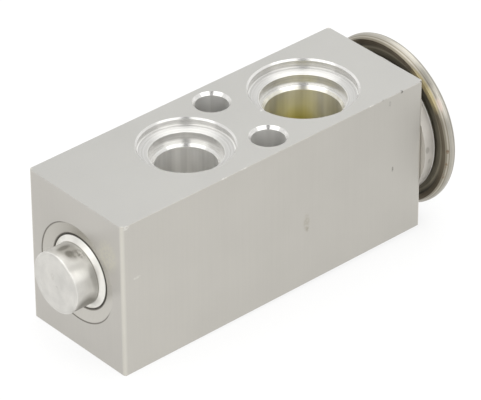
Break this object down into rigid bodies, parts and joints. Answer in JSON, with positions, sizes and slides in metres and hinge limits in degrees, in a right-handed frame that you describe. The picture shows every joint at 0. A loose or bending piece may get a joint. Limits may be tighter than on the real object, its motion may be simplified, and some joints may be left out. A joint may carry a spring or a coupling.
{
  "type": "block expansion valve",
  "caption": "Block-type thermostatic expansion valve for a vehicle air conditioner: aluminium block with liquid and suction ports, staked end plug and steel power element",
  "frame": {"origin": "middle of the two bolt holes, on the lower port face", "axes": "+X along the valve axis towards the power element, +Y across the block from one bolt hole to the other, +Z out of the upper port face"},
  "size_m": [0.0895, 0.0356, 0.0356],
  "materials": {
    "machined_aluminium": "satin sawn and milled extrusion with bright turned ports",
    "turned_aluminium": "fine turned",
    "seal_rubber": "matt moulded",
    "spring_wire": "drawn wire",
    "spring_sheet": "rolled spring sheet",
    "stainless_steel": "fine turned stainless",
    "polished_steel": "lapped and polished",
    "rod_brass": "drawn and turned",
    "drawn_steel": "turned stainless with a warm tint from welding",
    "pressed_steel": "pressed and rolled stainless sheet"
  },
  "bodies": {
    "block": {"valve_body": "machined_aluminium", "end_plug": "turned_aluminium", "plug_o_ring": "seal_rubber", "valve_spring": "spring_wire", "pin_o_ring": "seal_rubber", "pin_washer": "stainless_steel", "pin_retainer": "spring_sheet", "diaphragm": "spring_sheet", "element_base": "drawn_steel", "element_cover": "pressed_steel", "charge_plug": "stainless_steel", "element_o_ring": "seal_rubber"},
    "valve_train": {"ball_carrier": "stainless_steel", "valve_ball": "polished_steel", "damping_ring": "spring_sheet", "operating_pin": "stainless_steel", "sensing_rod": "rod_brass", "pressure_pad": "turned_aluminium"}
  },
  "joints": [
    {"name": "valve_stroke", "type": "slide", "parent": "block", "child": "valve_train", "axis": [1, 0, 0], "range_m": [0, 0.0008], "stiffness_N_per_m": 8000, "deforming": ["valve_spring", "diaphragm"]}
  ]
}
